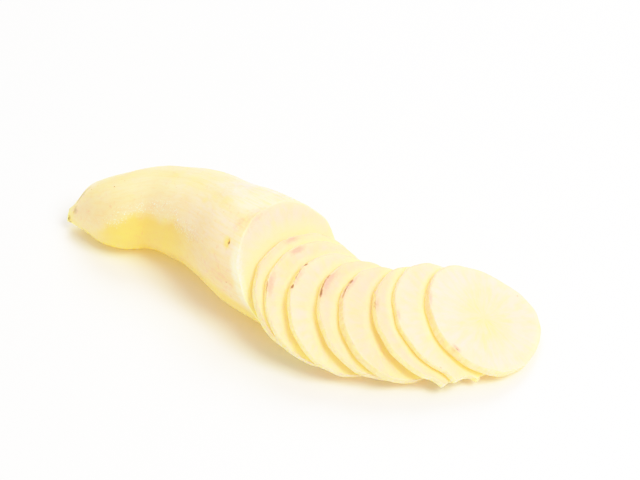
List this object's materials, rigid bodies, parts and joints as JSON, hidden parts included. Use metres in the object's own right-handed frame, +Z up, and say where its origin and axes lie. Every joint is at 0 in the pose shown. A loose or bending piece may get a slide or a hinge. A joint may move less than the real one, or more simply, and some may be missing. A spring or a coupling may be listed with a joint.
{
  "type": "yacon root",
  "caption": "Peeled yacon root lying on its side, with its thick end cut into thin round slices that lean back on the cut face in a curved fan.",
  "frame": {"origin": "under the middle of the whole object's bounding box, on the flat surface that it lies on", "axes": "+X along the whole object from the trimmed tip towards the last slice, +Y towards the outer side of the body's bend, +Z up"},
  "size_m": [0.2132, 0.122, 0.0502],
  "materials": {
    "peeled_flesh": "smooth, moist, slightly waxy peeled flesh",
    "cut_flesh": "knife-cut, moist, slightly translucent flesh"
  },
  "bodies": {
    "root": {"root_body": "peeled_flesh", "slice_1": "cut_flesh", "slice_2": "cut_flesh", "slice_3": "cut_flesh", "slice_4": "cut_flesh", "slice_5": "cut_flesh", "slice_6": "cut_flesh", "slice_7": "cut_flesh", "slice_8": "cut_flesh"}
  },
  "joints": []
}
